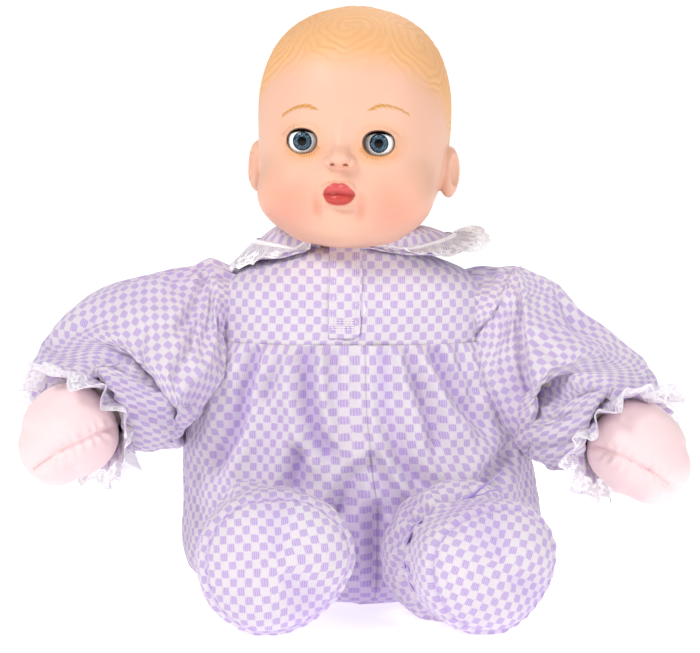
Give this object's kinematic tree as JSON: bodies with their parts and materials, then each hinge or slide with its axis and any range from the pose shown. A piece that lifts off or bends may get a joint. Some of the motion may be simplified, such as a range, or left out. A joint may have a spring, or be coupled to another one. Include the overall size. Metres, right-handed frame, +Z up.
{
  "type": "interactive baby doll",
  "caption": "Seated soft-bodied baby doll with a turning vinyl head, sleep eyes, swinging arms and legs, a checked footed sleeper and a squeeze-to-giggle sound module.",
  "frame": {"origin": "middle of the flat seat on the ground", "axes": "+Z up, -Y the way the doll faces, +X the doll's own left"},
  "size_m": [0.2514, 0.1486, 0.2309],
  "materials": {
    "sleeper": "brushed knit, lavender and white checks",
    "lace": "white lace",
    "ribbon": "satin",
    "vinyl": "soft vinyl with painted features",
    "hand": "smooth knit",
    "muslin": "woven",
    "filling": "fibre filling",
    "eye": "gloss",
    "lash": "bristle",
    "steel": "plated",
    "case_shell": "moulded",
    "button": "moulded",
    "board": "solder mask",
    "black": "moulded",
    "cell": "nickel plated",
    "nylon": "moulded",
    "elastic": "woven elastic"
  },
  "bodies": {
    "torso": {"yoke_front_left": "sleeper", "yoke_front_right": "sleeper", "yoke_back": "sleeper", "skirt_front_left": "sleeper", "skirt_front_right": "sleeper", "skirt_back": "sleeper", "placket": "sleeper", "placket_hook_tape": "elastic", "placket_loop_tape": "elastic", "collar_left": "sleeper", "collar_right": "sleeper", "collar_lace_left": "lace", "collar_lace_right": "lace", "torso_cloth": "muslin", "access_flap": "muslin", "torso_filling": "filling", "neck_cable_tie": "nylon", "module_case_front": "case_shell", "module_case_back": "case_shell", "case_screw": "steel", "button_spring": "steel", "sound_board": "board", "speaker": "black", "battery_cell_1": "cell", "battery_cell_2": "cell", "battery_cell_3": "cell", "battery_contact_positive": "steel", "battery_contact_negative": "steel"},
    "head": {"head_shell": "vinyl", "eye_cup_right": "nylon", "eye_cup_left": "nylon"},
    "eye_right": {"eyeball_right": "eye", "eye_weight_right": "steel", "eyelash_right": "lash"},
    "eye_left": {"eyeball_left": "eye", "eye_weight_left": "steel", "eyelash_left": "lash"},
    "arm_right": {"sleeve_right": "sleeper", "cuff_elastic_right": "elastic", "cuff_lace_right": "lace", "arm_right": "muslin", "hand_right": "hand"},
    "arm_left": {"sleeve_left": "sleeper", "cuff_elastic_left": "elastic", "cuff_lace_left": "lace", "arm_left": "muslin", "hand_left": "hand"},
    "leg_right": {"pant_leg_right": "sleeper", "foot_upper_right": "sleeper", "foot_sole_right": "sleeper", "ankle_ribbon_right": "ribbon", "leg_right": "muslin"},
    "leg_left": {"pant_leg_left": "sleeper", "foot_upper_left": "sleeper", "foot_sole_left": "sleeper", "ankle_ribbon_left": "ribbon", "leg_left": "muslin"},
    "squeeze_button": {"press_button": "button"},
    "battery_door": {"battery_door": "case_shell", "door_screw": "steel"}
  },
  "joints": [
    {"name": "neck_swivel", "type": "hinge", "parent": "torso", "child": "head", "pos_m": [0, 0.004, 0.127], "axis": [0, 0, 1], "range_deg": [-70, 70]},
    {"name": "eye_close_right", "type": "hinge", "parent": "head", "child": "eye_right", "pos_m": [-0.01776, -0.02646, 0.18038], "axis": [0.9922, -0.1218, -0.0262], "range_deg": [0, 65]},
    {"name": "eye_close_left", "type": "hinge", "parent": "head", "child": "eye_left", "pos_m": [0.01142, -0.03004, 0.17961], "axis": [0.9922, -0.1218, -0.0262], "range_deg": [0, 65]},
    {"name": "shoulder_right", "type": "hinge", "parent": "torso", "child": "arm_right", "pos_m": [-0.062, 0.002, 0.108], "axis": [0, 1, 0], "range_deg": [-6, 95]},
    {"name": "shoulder_left", "type": "hinge", "parent": "torso", "child": "arm_left", "pos_m": [0.062, 0.002, 0.108], "axis": [0, -1, 0], "range_deg": [-6, 95]},
    {"name": "hip_right", "type": "hinge", "parent": "torso", "child": "leg_right", "pos_m": [-0.031, -0.0365, 0.025], "axis": [1, 0, 0], "range_deg": [-15, 75]},
    {"name": "hip_left", "type": "hinge", "parent": "torso", "child": "leg_left", "pos_m": [0.036, -0.0365, 0.025], "axis": [1, 0, 0], "range_deg": [-15, 75]},
    {"name": "button_press", "type": "slide", "parent": "torso", "child": "squeeze_button", "axis": [0, 1, 0], "range_m": [0, 0.0025], "stiffness_N_per_m": 600, "springref_m": -0.001, "deforming": ["button_spring"]},
    {"name": "battery_door_slide", "type": "slide", "parent": "torso", "child": "battery_door", "axis": [1, 0, 0], "range_m": [0, 0.012]}
  ]
}
